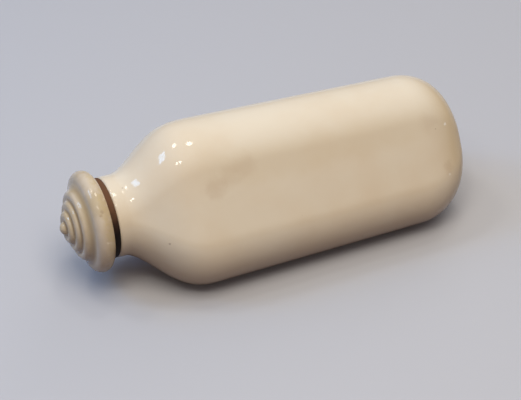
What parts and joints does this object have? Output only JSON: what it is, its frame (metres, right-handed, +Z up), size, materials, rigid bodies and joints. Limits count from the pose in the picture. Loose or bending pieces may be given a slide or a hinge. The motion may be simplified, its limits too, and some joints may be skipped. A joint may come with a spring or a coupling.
{
  "type": "stoneware hot water bottle",
  "caption": "Glazed stoneware hot water bottle with flat sides, a round foot and a short neck, closed by a ringed screw stopper that presses a rubber washer on the lip.",
  "frame": {"origin": "on the floor, under the middle of the bottle's length, on its vertical plane of symmetry", "axes": "+X along the bottle from the stopper to the foot, +Z up with the bottle lying on one flat, +Y to its left seen from the stopper"},
  "size_m": [0.2806, 0.1106, 0.1046],
  "materials": {
    "ivory_glaze": "glossy ivory glaze with faint tan staining",
    "tan_glaze": "glossy yellower ivory glaze, stained brown in the grooves",
    "washer_rubber": "old brown-black rubber, matt"
  },
  "bodies": {
    "bottle": {"bottle": "ivory_glaze"},
    "washer": {"washer": "washer_rubber"},
    "stopper": {"stopper": "tan_glaze"}
  },
  "joints": [
    {"name": "washer_lift", "type": "slide", "parent": "bottle", "child": "washer", "axis": [-1, 0, 0], "range_m": [0, 0.024]},
    {"name": "stopper_turn", "type": "hinge", "parent": "washer", "child": "stopper", "pos_m": [-0.10815, 0, 0.0495], "axis": [-1, 0, 0], "range_deg": [0, 1440]}
  ],
  "couplings": [
    {"joint": "washer_lift", "follows": "stopper_turn", "m_per_rad": 0.00095493}
  ]
}
